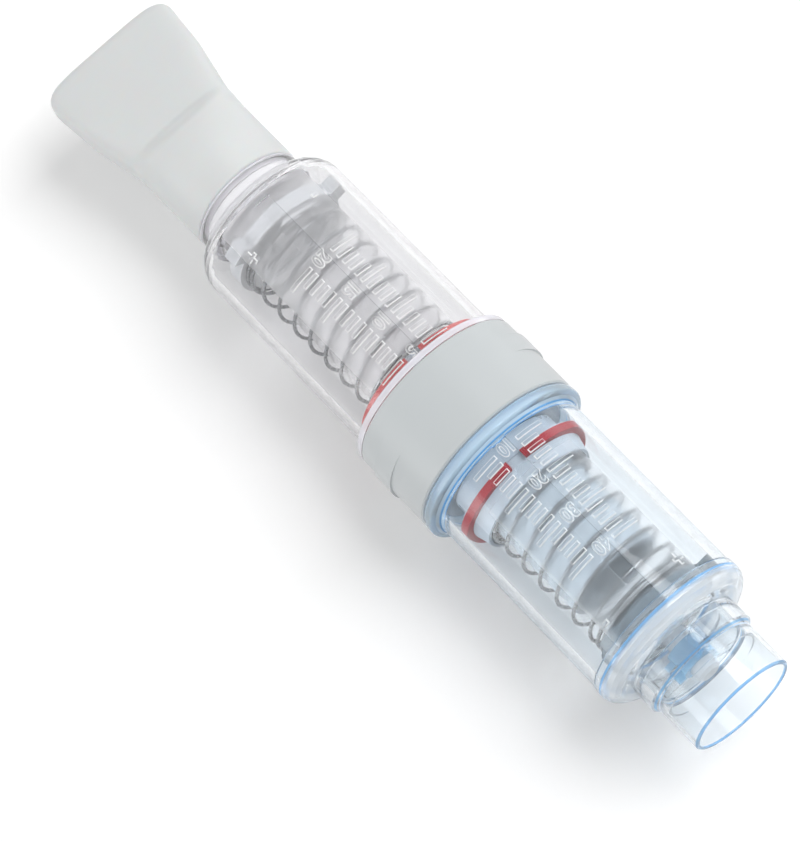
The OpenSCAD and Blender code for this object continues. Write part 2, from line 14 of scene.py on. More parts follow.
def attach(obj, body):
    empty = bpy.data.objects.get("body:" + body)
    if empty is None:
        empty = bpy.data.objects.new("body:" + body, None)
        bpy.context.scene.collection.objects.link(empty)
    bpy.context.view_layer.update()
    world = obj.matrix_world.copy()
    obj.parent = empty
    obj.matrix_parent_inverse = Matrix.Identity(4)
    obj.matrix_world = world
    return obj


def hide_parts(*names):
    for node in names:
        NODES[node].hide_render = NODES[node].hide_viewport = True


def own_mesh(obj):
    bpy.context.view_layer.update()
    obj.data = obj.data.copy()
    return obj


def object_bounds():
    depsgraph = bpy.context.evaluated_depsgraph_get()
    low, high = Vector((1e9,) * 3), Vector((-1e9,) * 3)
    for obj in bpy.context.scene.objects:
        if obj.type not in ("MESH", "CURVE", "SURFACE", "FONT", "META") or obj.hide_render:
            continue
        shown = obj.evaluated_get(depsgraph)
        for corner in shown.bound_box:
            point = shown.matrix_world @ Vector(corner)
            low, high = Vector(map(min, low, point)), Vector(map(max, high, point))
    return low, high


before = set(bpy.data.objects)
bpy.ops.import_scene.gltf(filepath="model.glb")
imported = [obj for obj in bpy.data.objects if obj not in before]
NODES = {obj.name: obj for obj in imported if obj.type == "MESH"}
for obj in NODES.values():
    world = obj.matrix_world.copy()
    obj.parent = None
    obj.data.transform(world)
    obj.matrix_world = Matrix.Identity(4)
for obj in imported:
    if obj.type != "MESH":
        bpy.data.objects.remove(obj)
cad_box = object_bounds()

MM = 0.001
TURN = 2 * math.pi
DECIMALS = 3


def span(node, axis="x"):
    """Where a solid starts and ends along an axis of the frame, in millimetres."""
    solid = NODES[node]
    places = [getattr(solid.matrix_world @ v.co, axis) / MM for v in solid.data.vertices]
    return round(min(places), DECIMALS), round(max(places), DECIMALS)


def middle(node):
    """The middle of a solid along the axis."""
    return sum(span(node)) / 2


def beside(place, *offsets):
    """Places along the axis at offsets from a place."""
    return tuple(place + offset for offset in offsets)


# Places and radii of the solids

X_TIP, X_SLEEVE = span("mouthpiece")
X_BAND = span("grip_band")
X_CAP = span("imt_end_cap")
X_CORE = span("lead_screw_core")
X_MID = middle("grip_band")
X_PEP_SEAT = span("pep_indicator_ring")[0]
X_IMT_SEAT = span("imt_indicator_ring")[1]
X_PEP_SEAL = span("pep_seat_seal")[1]
X_IMT_SEAL = span("imt_seat_seal")[0]
BORE_R = 15.7
PEP_WALL = 1.85
IMT_WALL = 2.0
CORE_ROOM = 5.3
PEP_R = BORE_R + PEP_WALL
IMT_R = BORE_R + IMT_WALL
CORE_R = BORE_R - CORE_ROOM
BOSS_R = 5.5

# Camera, whose picture is measured in pixels

FRAME_W, FRAME_H = 800, 842
FOCAL_PX = 3500.0
SENSOR = 36.0
DISTANCE = 694.0
TILT = math.radians(20.5)
ROLL = math.radians(45.95)
NUMBER_LINE = math.radians(6.3)
X_ANCHOR = -92.2
ANCHOR_PX = (423.95, 379.88)
CLIP_NEAR = 10
CLIP_FAR = 20000


def place_camera():
    """The camera stands where the photograph was taken, and its frame isn't shifted."""
    back = Vector((math.sin(TILT), -math.cos(TILT) * math.sin(NUMBER_LINE),
                   math.cos(TILT) * math.cos(NUMBER_LINE)))
    along = Vector((1, 0, 0)) - back * back.x
    along.normalize()
    across = back.cross(along)
    right = math.cos(ROLL) * along + math.sin(ROLL) * across
    up = -math.sin(ROLL) * along + math.cos(ROLL) * across
    aside = (ANCHOR_PX[0] - FRAME_W / 2) / FOCAL_PX * DISTANCE
    down = (ANCHOR_PX[1] - FRAME_H / 2) / FOCAL_PX * DISTANCE
    eye = Vector((X_ANCHOR, 0, 0)) + DISTANCE * back - aside * right + down * up
    data = bpy.data.cameras.new("camera")
    data.sensor_fit = "VERTICAL"
    data.sensor_height = SENSOR
    data.lens = FOCAL_PX * SENSOR / FRAME_H
    data.clip_start = CLIP_NEAR * MM
    data.clip_end = CLIP_FAR * MM
    camera = bpy.data.objects.new("camera", data)
    turn = Matrix((right, up, back)).transposed()
    camera.matrix_world = Matrix.Translation(eye * MM) @ turn.to_4x4()
    bpy.context.scene.collection.objects.link(camera)
    bpy.context.scene.camera = camera


# Node helpers

def new_material(name):
    """A material, its tree, its Principled node and its output."""
    material = bpy.data.materials.new(name)
    material.use_nodes = True
    tree = material.node_tree
    return material, tree, tree.nodes["Principled BSDF"], tree.nodes["Material Output"]


def put(tree, value, socket):
    """Links or sets one input; a plain colour comes without its alpha."""
    if isinstance(value, bpy.types.NodeSocket):
        tree.links.new(value, socket)
    elif socket.type == "RGBA":
        socket.default_value = (*value, 1)
    else:
        socket.default_value = value


def feed(tree, node, **values):
    """Links or sets inputs of a node by their names, with _ for a space."""
    for key, value in values.items():
        put(tree, value, node.inputs[key.replace("_", " ")])


def add(tree, kind, *inputs, **settings):
    """A new node with its settings, and its first inputs linked or set in order."""
    node = tree.nodes.new(kind)
    for key, value in settings.items():
        setattr(node, key, value)
    for socket, value in zip(node.inputs, inputs):
        put(tree, value, socket)
    return node


def math_node(tree, operation, *inputs):
    """A Math node's result."""
    return add(tree, "ShaderNodeMath", *inputs, operation=operation).outputs[0]


def ramp_between(tree, value, low, high, out_low=0.0, out_high=1.0):
    """The value, mapped smoothly and held at both ends."""
    node = add(tree, "ShaderNodeMapRange", value, low, high, out_low, out_high,
               interpolation_type="SMOOTHSTEP")
    return node.outputs[0]


def noise(tree, scale, detail, rough=0.5):
    """Noise over the piece's own coordinates, in periods to the metre."""
    node = add(tree, "ShaderNodeTexNoise")
    feed(tree, node, Vector=add(tree, "ShaderNodeTexCoord").outputs["Object"], Scale=scale,
         Detail=detail, Roughness=rough)
    return node.outputs[0]


def one_minus(tree, value):
    """One minus a socket, or minus a plain value, which then stays a plain one."""
    if isinstance(value, bpy.types.NodeSocket):
        return math_node(tree, "SUBTRACT", 1.0, value)
    return 1.0 - value


def mixed(tree, factor, low, high):
    """A colour between two colours by a factor."""
    mix = add(tree, "ShaderNodeMix", data_type="RGBA")
    feed(tree, mix, Factor=factor, A=low, B=high)
    return mix.outputs["Result"]


def bumped(tree, shader, height, strength, depth):
    """Puts a bump of that height field on the shader."""
    bump = add(tree, "ShaderNodeBump")
    feed(tree, bump, Strength=strength, Distance=depth * MM, Height=height)
    feed(tree, shader, Normal=bump.outputs["Normal"])


def scaled(color, share):
    """A colour made lighter or darker by a share."""
    return tuple(min(1.0, c * share) for c in color)


def radial(tree):
    """Place along the axis, angle from the number line and radius of the shaded point."""
    coords = add(tree, "ShaderNodeTexCoord").outputs["Object"]
    x, y, z = add(tree, "ShaderNodeSeparateXYZ", coords).outputs
    angle = math_node(tree, "ABSOLUTE", math_node(tree, "ARCTAN2", y, z))
    radius = math_node(tree, "SQRT", math_node(
        tree, "ADD", math_node(tree, "MULTIPLY", y, y), math_node(tree, "MULTIPLY", z, z)))
    return x, angle, radius


def slope(tree):
    """How far the surface faces away from the axis: 1 or -1 on a wall, 0 on an end face."""
    coords = add(tree, "ShaderNodeTexCoord").outputs
    out = add(tree, "ShaderNodeVectorMath", coords["Object"], (0, 1, 1),
              operation="MULTIPLY").outputs[0]
    out = add(tree, "ShaderNodeVectorMath", out, operation="NORMALIZE").outputs[0]
    return add(tree, "ShaderNodeVectorMath", out, coords["Normal"],
               operation="DOT_PRODUCT").outputs["Value"]


def stretch(tree, x, ends, soft):
    """1 between two places along the axis, and 0 elsewhere, with soft ends."""
    low, high = ends
    after = ramp_between(tree, x, (low - soft) * MM, (low + soft) * MM)
    before = ramp_between(tree, x, (high - soft) * MM, (high + soft) * MM, 1.0, 0.0)
    return math_node(tree, "MULTIPLY", after, before)


# Opaque materials

BLACK = (0, 0, 0)
CLOUD_DETAIL = 3.0
CLOUD_RANGE = (0.3, 0.7)
GLOSS_SPREAD = 0.05
GRAIN_DETAIL = 2.0
GRAIN_ROUGH = 0.6
GRAIN_STRENGTH = 0.5
GRADED_CLOUD = 80
GRADED_CLOUD_SHARE = 0.12
GRADED_GRAIN = 2500
GRADED_DEPTH = 0.02
STREAK_SCALE = 900
STREAK_SHARES = (0.88, 1.1)
STREAK_GLOSS = 0.12


def mould_surface(tree, shader, color, clouds, rough, grain, depth):
    """Gives moulded plastic its colour, a gloss that follows the clouds and a fine grain."""
    gloss = ramp_between(tree, clouds, *CLOUD_RANGE, rough - GLOSS_SPREAD, rough + GLOSS_SPREAD)
    feed(tree, shader, Base_Color=color, Roughness=gloss)
    bumped(tree, shader, noise(tree, grain, GRAIN_DETAIL, GRAIN_ROUGH), GRAIN_STRENGTH, depth)


def moulded(name, color, rough, spread, cloud, grain, depth, **inputs):
    """Moulded plastic or rubber of one colour, a little cloudy."""
    material, tree, shader, _ = new_material(name)
    clouds = noise(tree, cloud, CLOUD_DETAIL)
    cloudy = mixed(tree, clouds, scaled(color, 1 - spread), scaled(color, 1 + spread))
    mould_surface(tree, shader, cloudy, clouds, rough, grain, depth)
    feed(tree, shader, **inputs)
    return material


def graded(name, stops, rough):
    """Moulded plastic whose colour changes along the axis, from (place, colour) stops, which
    paint light and shade onto one part.
    """
    material, tree, shader, _ = new_material(name)
    x, _, _ = radial(tree)
    clouds = noise(tree, GRADED_CLOUD, CLOUD_DETAIL)
    color = stops[0][1]
    for (near, _), (far, far_color) in zip(stops, stops[1:]):
        color = mixed(tree, ramp_between(tree, x, near * MM, far * MM), color, far_color)
    shade = math_node(tree, "MULTIPLY", clouds, GRADED_CLOUD_SHARE)
    cloudy = mixed(tree, shade, color, BLACK)
    mould_surface(tree, shader, cloudy, clouds, rough, GRADED_GRAIN, GRADED_DEPTH)
    return material


def metal(name, color, rough):
    """Drawn spring wire: bright, with faint streaks."""
    material, tree, shader, _ = new_material(name)
    streaks = noise(tree, STREAK_SCALE, CLOUD_DETAIL)
    dark, light = (scaled(color, share) for share in STREAK_SHARES)
    feed(tree, shader, Base_Color=mixed(tree, streaks, dark, light), Metallic=1.0,
         Roughness=ramp_between(tree, streaks, *CLOUD_RANGE, rough, rough + STREAK_GLOSS))
    return material


# Clear materials

GLASS_IOR = 1.2
COAT = 0.3
COAT_ROUGH = 0.05
EDGE_BLEND = 0.3
EDGE_FROM = 0.35
CLEAR_ROUGH = 0.03
CLEAR_GLOSS_SPREAD = 0.02
CLEAR_CLOUD = 160
CLEAR_CLOUD_DETAIL = 2.0
CLEAR_CLOUD_RANGE = (0.2, 0.8)
WAVE_SCALE = 220
WAVE_DETAIL = 1.0
WAVE_STRENGTH = 0.04
WAVE_DEPTH = 0.1
STRETCH_SOFT = 0.2
RIM_SOFT = 0.1
BOSS_SOFT = 0.5
# The bore is frosted behind the strip, and a little less behind the numbers: how far each
# reaches to both sides of the number line and how soft its edge is, in degrees
STRIP_HALF = 41.0
STRIP_SOFT = 0.8
NUMBERS_HALF = 24.0
NUMBERS_SOFT = 1.6
NUMBERS_FROST_SHARE = 0.8
FROST_ROUGH = 0.36
# Depths in the wall of a barrel between which its bore gives way to its outside
SKIN_DEPTHS = (0.4, 0.7)
SKIN = tuple((BORE_R + depth) * MM for depth in SKIN_DEPTHS)
# Slopes between which an end face gives way to a wall, and an edge of a mark to its top
WALL_SLOPE = (0.5, 0.8)
MARK_SLOPE = (0.8, 0.95)
MARK_SPECK = 400
MARK_SPECK_DETAIL = 2.0
MARK_SPECK_SHARE = 0.97
MARK_GLOSS = (0.02, 0.35)
MARK_CLEAR = (1.0, 0.1)
MARK_LAMP = (1, 1, 1)


def angle_below(tree, angle, limit, soft, out_low, out_high):
    """One value at angles below a limit in degrees, and another above it."""
    return ramp_between(tree, angle, math.radians(limit - soft), math.radians(limit + soft),
                        out_low, out_high)


def frost_mask(tree, x, angle, radius, ends):
    """1 on a barrel's bore behind the number strip, and 0 on the rest of the barrel."""
    mask = angle_below(tree, angle, NUMBERS_HALF, NUMBERS_SOFT, NUMBERS_FROST_SHARE, 1.0)
    for part in (angle_below(tree, angle, STRIP_HALF, STRIP_SOFT, 1.0, 0.0),
                 ramp_between(tree, radius, *SKIN, 1.0, 0.0),
                 ramp_between(tree, math_node(tree, "ABSOLUTE", slope(tree)), *WALL_SLOPE),
                 stretch(tree, x, ends, STRETCH_SOFT)):
        mask = math_node(tree, "MULTIPLY", mask, part)
    return mask


def lets_lamps_through(tree, shader, output, lamp_color):
    """Lamps shine through the plastic, tinted, and every other ray sees its shader."""
    see = add(tree, "ShaderNodeBsdfTransparent", lamp_color)
    rays = add(tree, "ShaderNodeLightPath")
    mix = add(tree, "ShaderNodeMixShader", rays.outputs["Is Shadow Ray"],
              shader.outputs[0], see.outputs[0])
    feed(tree, output, Surface=mix.outputs[0])


def clear_plastic(name, color, edge, lamp_color, milk=0.0, rims=(), boss=None, haze=None,
                  frost=None):
    """Clear moulded plastic: tinted where it is seen edge on, and milky by a share.

    Rims are (ends, colour, milk) and the boss is (radius, colour, milk), which tint it too.
    Haze is (ends, milk), and frost is (ends, milk) on the bore behind the number strip.
    """
    material, tree, shader, output = new_material(name)
    x, angle, radius = radial(tree)
    facing = add(tree, "ShaderNodeLayerWeight", EDGE_BLEND).outputs["Facing"]
    grazing = ramp_between(tree, facing, EDGE_FROM, 1.0)
    if frost:
        grazing = math_node(tree, "MULTIPLY", grazing, ramp_between(tree, radius, *SKIN))
    tint = mixed(tree, grazing, color, edge)
    zones = [(stretch(tree, x, ends, RIM_SOFT), *look) for ends, *look in rims]
    if boss:
        boss_r, *look = boss
        zones.append((ramp_between(tree, radius, boss_r * MM, (boss_r + BOSS_SOFT) * MM,
                                   1.0, 0.0), *look))
    for zone, zone_color, zone_milk in zones:
        tint = mixed(tree, zone, tint, zone_color)
        milk = math_node(tree, "MULTIPLY_ADD", zone, zone_milk, milk)
    if haze:
        ends, haze_milk = haze
        milk = math_node(tree, "MULTIPLY_ADD", stretch(tree, x, ends, STRETCH_SOFT),
                         haze_milk, milk)
    if frost:
        ends, frost_milk = frost
        mask = frost_mask(tree, x, angle, radius, ends)
        milk = math_node(tree, "MAXIMUM", math_node(tree, "MULTIPLY", mask, frost_milk), milk)
        roughness = ramp_between(tree, mask, 0.0, 1.0, CLEAR_ROUGH, FROST_ROUGH)
    else:
        clouds = noise(tree, CLEAR_CLOUD, CLEAR_CLOUD_DETAIL)
        roughness = ramp_between(tree, clouds, *CLEAR_CLOUD_RANGE, CLEAR_ROUGH,
                                 CLEAR_ROUGH + CLEAR_GLOSS_SPREAD)
    feed(tree, shader, Base_Color=tint, Roughness=roughness, IOR=GLASS_IOR,
         Transmission_Weight=one_minus(tree, milk), Coat_Weight=COAT,
         Coat_Roughness=COAT_ROUGH)
    bumped(tree, shader, noise(tree, WAVE_SCALE, WAVE_DETAIL), WAVE_STRENGTH, WAVE_DEPTH)
    lets_lamps_through(tree, shader, output, lamp_color)
    return material


def raised_mark(name, color, edge):
    """Clear raised marks whose slanted edges catch the light."""
    material, tree, shader, output = new_material(name)
    side = ramp_between(tree, slope(tree), *MARK_SLOPE, 1.0, 0.0)
    speck = noise(tree, MARK_SPECK, MARK_SPECK_DETAIL)
    shade = mixed(tree, speck, scaled(edge, MARK_SPECK_SHARE), edge)
    feed(tree, shader, Base_Color=mixed(tree, side, color, shade), IOR=GLASS_IOR,
         Roughness=ramp_between(tree, side, 0.0, 1.0, *MARK_GLOSS),
         Transmission_Weight=ramp_between(tree, side, 0.0, 1.0, *MARK_CLEAR))
    lets_lamps_through(tree, shader, output, MARK_LAMP)
    return material


# Colours and shine

SHEEN_ROUGH = 0.35
RED_SHINE = 0.1
# The valve discs' greys paint light and shade: the light one is painted light on the PEP disc's
# inner face and boss, and the dark one is painted shade on the IMT disc and boss
DISC_PAINTED_LIGHT = (0.74, 0.75, 0.76)
DISC_PAINTED_SHADE = (0.09, 0.13, 0.16)
CLEAR = (0.89, 0.89, 0.90)
CLEAR_EDGE = (0.80, 0.80, 0.85)
CLEAR_RIM = (0.84, 0.83, 0.89)
CLEAR_NECK = (0.98, 0.98, 0.99)
CLEAR_LAMP = (0.60, 0.60, 0.61)
BLUE = (0.895, 0.93, 0.955)
BLUE_EDGE = (0.56, 0.80, 0.98)
BLUE_RIM = (0.70, 0.86, 0.98)
BLUE_LINE = (0.12, 0.42, 0.86)
BLUE_LAMP = (0.68, 0.68, 0.69)
BOSS_BLUE = (0.25, 0.60, 0.85)
CAP_EDGE = (0.84, 0.92, 0.98)
CAP_LINE = (0.25, 0.55, 0.92)
CAP_LAMP = (0.50, 0.50, 0.51)

# How milky the rims and stretches of clear plastic are

CLEAR_RIM_MILK = 0.7
NECK_MILK = 0.16
BEAD_MILK = 0.42
BEAD_LINE_MILK = 0.1
CAP_LINE_MILK = 0.4
DOME_MILK = 0.26
BOSS_MILK = 0.35
PEP_FROST_MILK = 0.14
IMT_FROST_MILK = 0.06

# Stretches of the axis where the looks change, measured from the solids

X_NECK_FACE = beside(X_SLEEVE, -0.6, 0.6)
X_NECK = beside(X_SLEEVE, 0.6, 5.1)
X_FLANGE = beside(X_BAND[0], -1.5, -0.1)
X_BEAD = beside(X_BAND[1], -0.1, 3.4)
X_BEAD_LINES = (beside(X_BAND[1], -0.2, 0.1), beside(X_BAND[1], 3.2, 3.5))
X_CAP_LINES = (beside(X_CAP[0], -0.2, 0.1), beside(X_CAP[0], 1.5, 2.0),
               beside(X_CAP[1], -11.2, -10.8), beside(X_CAP[1], -0.4, 0.1))
X_DOME = beside(X_CAP[0], 2.1, 5.1)
X_PEP_FROST = (X_SLEEVE + 7.8, X_PEP_SEAT - 0.625)
X_IMT_FROST = (X_IMT_SEAT + 2.35, X_CAP[0] + 0.6)
# Where the PEP disc's painted light rises, and where the IMT disc's painted shade fades to the
# plain grey of its stem
X_PEP_DISC_PAINTED_LIGHT_RAMP = beside(X_PEP_SEAL, 2.23, 3.43)
X_IMT_DISC_PAINTED_SHADE_FADE = beside(X_IMT_SEAL, 0.77, 3.27)
# Near the middle the PEP side's greys end, and the IMT side's painted shade begins on the core
# and the valve disc
X_PEP_GREY_END, X_IMT_PAINTED_SHADE_START = beside(X_MID, -2.9, 3.1)

# Looks

MOULDED_LOOKS = {
    "soft_grey": dict(color=(0.63, 0.65, 0.65), rough=0.5, spread=0.02, cloud=40, grain=3000,
                      depth=0.03, Subsurface_Weight=0.2, Subsurface_Scale=0.003,
                      Sheen_Weight=0.6, Sheen_Roughness=SHEEN_ROUGH),
    "band_grey": dict(color=(0.50, 0.53, 0.54), rough=0.36, spread=0.02, cloud=30, grain=4000,
                      depth=0.01, Sheen_Weight=1.0, Sheen_Roughness=SHEEN_ROUGH),
    "light_grey": dict(color=(0.62, 0.69, 0.76), rough=0.3, spread=0.04, cloud=80, grain=2500,
                       depth=0.02, Transmission_Weight=0.45, IOR=1.3),
    "seal_silicone": dict(color=(0.75, 0.76, 0.75), rough=0.5, spread=0.03, cloud=80,
                          grain=2500, depth=0.02),
    "black_rubber": dict(color=(0.03, 0.03, 0.03), rough=0.55, spread=0.2, cloud=90,
                         grain=3000, depth=0.02),
    "light_red": dict(color=(0.50, 0.035, 0.035), rough=0.5, spread=0.06, cloud=90,
                      grain=2500, depth=0.01, Specular_IOR_Level=RED_SHINE),
    "dark_red": dict(color=(0.31, 0.003, 0.014), rough=0.5, spread=0.06, cloud=90,
                     grain=2500, depth=0.01, Specular_IOR_Level=RED_SHINE),
}
GRADED_LOOKS = {
    # One grey core, painted darker and bluer on the IMT side as painted shade
    "core_grey": dict(rough=0.42, stops=((X_PEP_GREY_END, (0.56, 0.56, 0.57)),
                                         (X_IMT_PAINTED_SHADE_START, (0.43, 0.49, 0.54)))),
    # Painted light on the PEP disc's inner face and boss, and painted shade on the IMT disc and
    # boss
    "valve_grey": dict(rough=0.4, stops=((X_PEP_DISC_PAINTED_LIGHT_RAMP[0], (0.50, 0.52, 0.54)),
                                         (X_PEP_DISC_PAINTED_LIGHT_RAMP[1], DISC_PAINTED_LIGHT),
                                         (X_PEP_GREY_END, DISC_PAINTED_LIGHT),
                                         (X_IMT_PAINTED_SHADE_START, DISC_PAINTED_SHADE),
                                         (X_IMT_DISC_PAINTED_SHADE_FADE[0], DISC_PAINTED_SHADE),
                                         (X_IMT_DISC_PAINTED_SHADE_FADE[1], (0.52, 0.54, 0.56)))),
}
METAL_LOOKS = {
    "steel": dict(color=(0.25, 0.26, 0.27), rough=0.2),
}
CLEAR_LOOKS = {
    "clear_plastic": dict(color=(0.95, 0.95, 0.96), edge=CLEAR_EDGE, lamp_color=CLEAR_LAMP,
                          milk=0.45),
    "clear_barrel": dict(color=CLEAR, edge=CLEAR_EDGE, lamp_color=CLEAR_LAMP, milk=0.045,
                         frost=(X_PEP_FROST, PEP_FROST_MILK),
                         rims=[(X_NECK_FACE, CLEAR_RIM, CLEAR_RIM_MILK),
                               (X_NECK, CLEAR_NECK, NECK_MILK),
                               (X_FLANGE, CLEAR_RIM, CLEAR_RIM_MILK)]),
    "blue_insert": dict(color=BLUE, edge=BLUE_EDGE, lamp_color=CLEAR_LAMP,
                        boss=(BOSS_R, BOSS_BLUE, BOSS_MILK)),
    "blue_plastic": dict(color=BLUE, edge=CAP_EDGE, lamp_color=CAP_LAMP, milk=0.06,
                         haze=(X_DOME, DOME_MILK),
                         rims=[(ends, CAP_LINE, CAP_LINE_MILK) for ends in X_CAP_LINES]),
    "blue_barrel": dict(color=BLUE, edge=BLUE_EDGE, lamp_color=BLUE_LAMP, milk=0.015,
                        frost=(X_IMT_FROST, IMT_FROST_MILK),
                        rims=[(X_BEAD, BLUE_RIM, BEAD_MILK),
                              *((ends, BLUE_LINE, BEAD_LINE_MILK) for ends in X_BEAD_LINES)]),
}
MARK_LOOKS = {
    "clear_mark": dict(color=(1, 1, 1), edge=(0.98, 0.98, 0.98)),
    "blue_mark": dict(color=(0.98, 0.99, 1.0), edge=(0.95, 0.97, 0.98)),
}
MATERIALS = {}
for make, looks in ((moulded, MOULDED_LOOKS), (graded, GRADED_LOOKS), (metal, METAL_LOOKS),
                    (clear_plastic, CLEAR_LOOKS), (raised_mark, MARK_LOOKS)):
    for name, look in looks.items():
        MATERIALS[name] = make(name, **look)

# The material of each solid, and of those that both sides have

OWN_FINISHES = {
    "mouthpiece": "soft_grey", "grip_band": "band_grey", "lead_screw_core": "core_grey",
    "pep_barrel": "clear_barrel", "imt_barrel": "blue_barrel", "imt_end_cap": "blue_plastic",
    "pep_guide_spider": "clear_plastic", "imt_guide_spider": "blue_insert",
    "pep_indicator_ring": "light_red", "imt_indicator_ring": "dark_red",
}
SHARED_FINISHES = {
    "valve_disc": "valve_grey", "seat_seal": "seal_silicone", "check_flap": "seal_silicone",
    "stem_clip": "steel", "spring": "steel", "retaining_ring": "steel",
    "traveller": "light_grey", "o_ring": "black_rubber",
}


def finish_node(name, material):
    """Gives a solid its material."""
    slots = NODES[name].data.materials
    slots.clear()
    slots.append(MATERIALS[material])


def finish_nodes():
    """Gives every solid its material, the same one on both sides where the sides share it."""
    for name, material in OWN_FINISHES.items():
        finish_node(name, material)
    for side in ("pep", "imt"):
        for name, material in SHARED_FINISHES.items():
            finish_node(f"{side}_{name}", material)


# Mesh helpers

def piece(name, mesh, body, slot, material=None):
    """A new piece of the object, on its body, with the given material, or else the one named by
    the slot.
    """
    obj = bpy.data.objects.new(name, mesh)
    bpy.context.scene.collection.objects.link(obj)
    mesh.materials.clear()
    mesh.materials.append(MATERIALS[material or slot])
    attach(obj, body)
    return obj


def mesh_of(name, bm, sharp_angle):
    """A mesh from a bmesh, in millimetres, with smooth faces and sharp edges over an angle."""
    bmesh.ops.recalc_face_normals(bm, faces=bm.faces)
    bmesh.ops.scale(bm, vec=(MM, MM, MM), verts=bm.verts)
    limit = math.radians(sharp_angle)
    for face in bm.faces:
        face.smooth = True
    for edge in bm.edges:
        if len(edge.link_faces) == 2 and edge.calc_face_angle() > limit:
            edge.smooth = False
    mesh = bpy.data.meshes.new(name)
    bm.to_mesh(mesh)
    bm.free()
    return mesh


def on_barrel(x, angle, radius):
    """A point at a place along the axis, an angle from the number line and a radius."""
    return (x, -radius * math.sin(angle), radius * math.cos(angle))


def bridge(bm, first, second):
    """Joins two closed rings of as many points."""
    count = len(first)
    for i in range(count):
        j = (i + 1) % count
        bm.faces.new((first[i], first[j], second[j], second[i]))


def capped_skin(bm, rings):
    """Joins a row of closed rings and closes both ends."""
    for first, second in zip(rings, rings[1:]):
        bridge(bm, first, second)
    bm.faces.new(rings[0])
    bm.faces.new(list(reversed(rings[-1])))


def endless_skin(bm, rings):
    """Joins a row of closed rings, and the last one to the first."""
    for first, second in zip(rings, rings[1:] + rings[:1]):
        bridge(bm, first, second)


def box(bm, x_ends, width, r_ends, turn):
    """A box above the axis, from one height to another, then turned about the axis."""
    sizes = (x_ends[1] - x_ends[0], width, r_ends[1] - r_ends[0], 1)
    centre = Vector((sum(x_ends) / 2, 0, sum(r_ends) / 2))
    place = Matrix.Rotation(turn, 4, "X") @ Matrix.Translation(centre) @ Matrix.Diagonal(sizes)
    bmesh.ops.create_cube(bm, size=1, matrix=place)


# Mouthpiece

MOUTH_HALF_W = span("mouthpiece", "y")[1]
MOUTH_WAIST_W = 30.6
MOUTH_T = 11.6
MOUTH_BACK_T = 18.4
MOUTH_WALL = 2.0
MOUTH_CORNER_R = 2.8
MOUTH_FLAT_L = 13.1
MOUTH_SLEEVE_L = 20.6
MOUTH_RISE_L = 5.0
SLEEVE_R = span("mouthpiece", "z")[1]
SLEEVE_EDGE = 0.4
BREATH_R = 11.0
SPIGOT_WALL = 1.6
RUN_GAP = 0.06
SPIGOT_R = BREATH_R + RUN_GAP
SPIGOT_BORE_R = BREATH_R - SPIGOT_WALL
X_SPIGOT = span("pep_barrel")[0]
X_WAIST = X_TIP + MOUTH_FLAT_L
X_TAPER = X_SLEEVE - MOUTH_SLEEVE_L
X_RISE = X_TAPER + MOUTH_RISE_L
RING_POINTS = 120
FLAT_POWER = 4.5
BACK_POWER = 3.4
ROUND_POWER = 2.0
LIP_STEPS = 8
TAPER_STEPS = 14
RISE_STEPS = 14
MOUTH_SHARP = 50


def between(a, b, share):
    """The value between a and b."""
    return a + (b - a) * share


def section(x, w, t, power):
    """A section of the mouthpiece from its half width, half thickness and roundness."""
    points = []
    for i in range(RING_POINTS):
        c, s = math.cos(TURN * i / RING_POINTS), math.sin(TURN * i / RING_POINTS)
        points.append((x, w * math.copysign(abs(c) ** (2 / power), c),
                       t * math.copysign(abs(s) ** (2 / power), s)))
    return points


def lip_sections():
    """Sections of the rounded end that goes between the lips."""
    sections = []
    for i in range(LIP_STEPS + 1):
        a = math.pi / 2 * i / LIP_STEPS
        sections.append(section(X_TIP + MOUTH_CORNER_R * (1 - math.cos(a)),
                                MOUTH_HALF_W - MOUTH_CORNER_R * (1 - math.sin(a)),
                                (MOUTH_T - MOUTH_WALL * (1 - math.sin(a))) / 2, FLAT_POWER))
    return sections


def taper_sections(wall):
    """Sections from the turn of the sides to the round sleeve, drawn in by a wall."""
    waist_t = between(MOUTH_T, MOUTH_BACK_T, (X_WAIST - X_TIP) / (X_TAPER - X_TIP))
    sections = []
    for i in range(TAPER_STEPS + 1):
        s = i / TAPER_STEPS
        sections.append(section(between(X_WAIST, X_TAPER, s),
                                between(MOUTH_WAIST_W / 2, SLEEVE_R, s) - wall,
                                between(waist_t, MOUTH_BACK_T, s) / 2 - wall,
                                between(FLAT_POWER, BACK_POWER, s)))
    return sections


def rise_sections():
    """Sections of the rise from the wedge to the round sleeve."""
    sections = []
    for i in range(1, RISE_STEPS + 1):
        s = i / RISE_STEPS
        e = s * s * (3 - 2 * s)
        sections.append(section(between(X_TAPER, X_RISE, s), SLEEVE_R,
                                between(MOUTH_BACK_T / 2, SLEEVE_R, e),
                                between(BACK_POWER, ROUND_POWER, e)))
    return sections


def bore_sections():
    """Sections of the opening for the breath, at the tip."""
    thick = MOUTH_T / 2 - MOUTH_WALL
    return [section(X_TIP + MOUTH_CORNER_R, MOUTH_HALF_W - MOUTH_WALL, thick, FLAT_POWER),
            section(X_TIP, MOUTH_HALF_W - MOUTH_CORNER_R - MOUTH_WALL / 2, thick, FLAT_POWER)]


